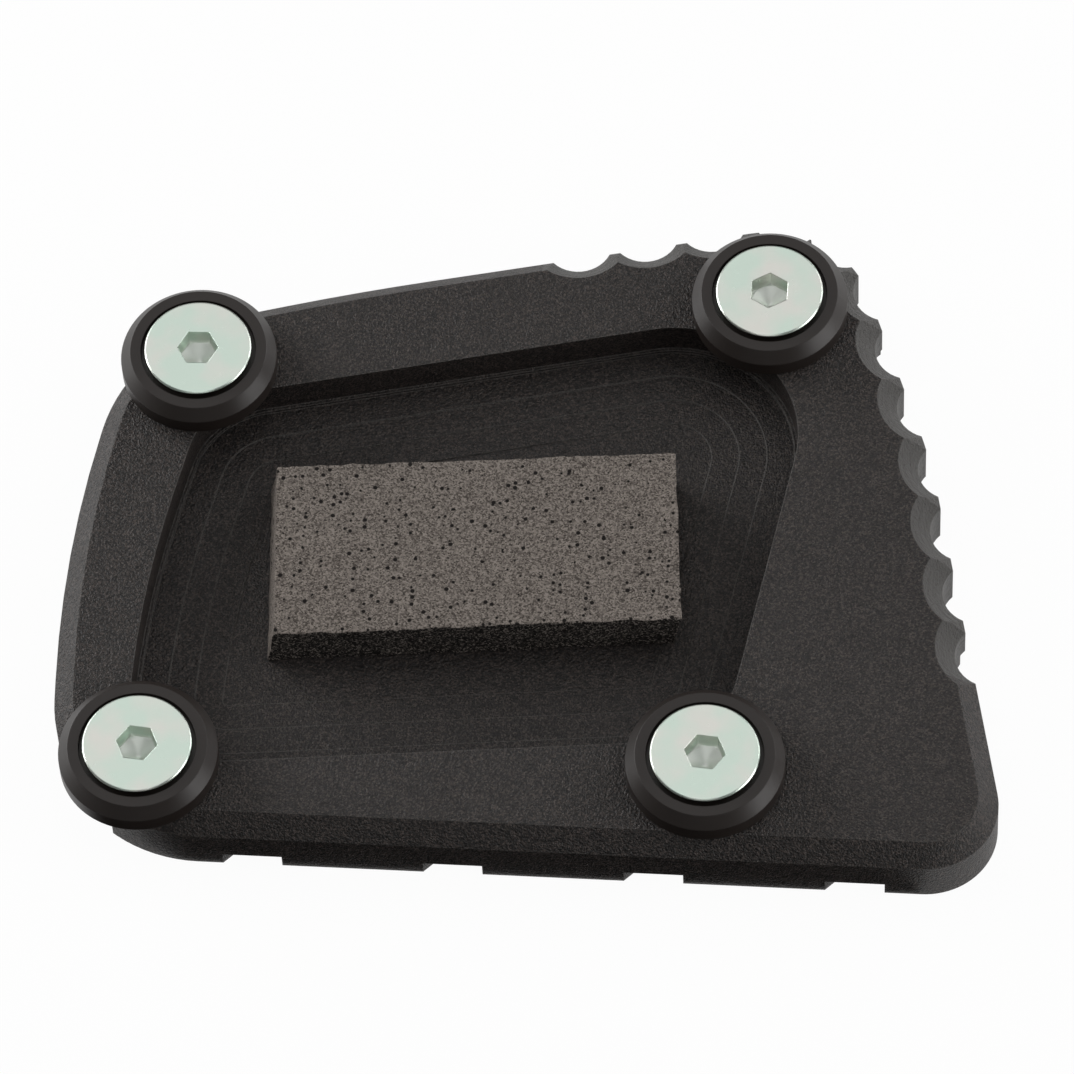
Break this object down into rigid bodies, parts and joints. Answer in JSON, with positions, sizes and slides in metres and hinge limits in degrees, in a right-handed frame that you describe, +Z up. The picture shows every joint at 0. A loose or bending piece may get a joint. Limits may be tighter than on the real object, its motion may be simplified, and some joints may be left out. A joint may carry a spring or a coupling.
{
  "type": "kickstand foot enlarger",
  "caption": "Milled plate that widens the foot of a motorcycle side stand, with a terraced pocket, a foam pad, clamp washers held by countersunk screws, and a grooved ground face.",
  "frame": {"origin": "on the ground face, on the land under the middle of the plate", "axes": "+X along the straight front edge towards the narrow front right tip, +Y towards the back edge, +Z up out of the ground face to the screw heads"},
  "size_m": [0.1046, 0.0815, 0.0118],
  "materials": {
    "coated_plate": "black textured powder coat",
    "foam": "closed-cell foam rubber, cut sides",
    "coated_washer": "black anodised, turned",
    "plated_steel": "zinc plated, satin"
  },
  "bodies": {
    "root": {"base_plate": "coated_plate", "foam_pad": "foam", "clamp_washer_back_left": "coated_washer", "clamp_washer_back_right": "coated_washer", "clamp_washer_front_left": "coated_washer", "clamp_washer_front_right": "coated_washer", "clamp_screw_back_left": "plated_steel", "clamp_screw_back_right": "plated_steel", "clamp_screw_front_left": "plated_steel", "clamp_screw_front_right": "plated_steel"}
  },
  "joints": []
}
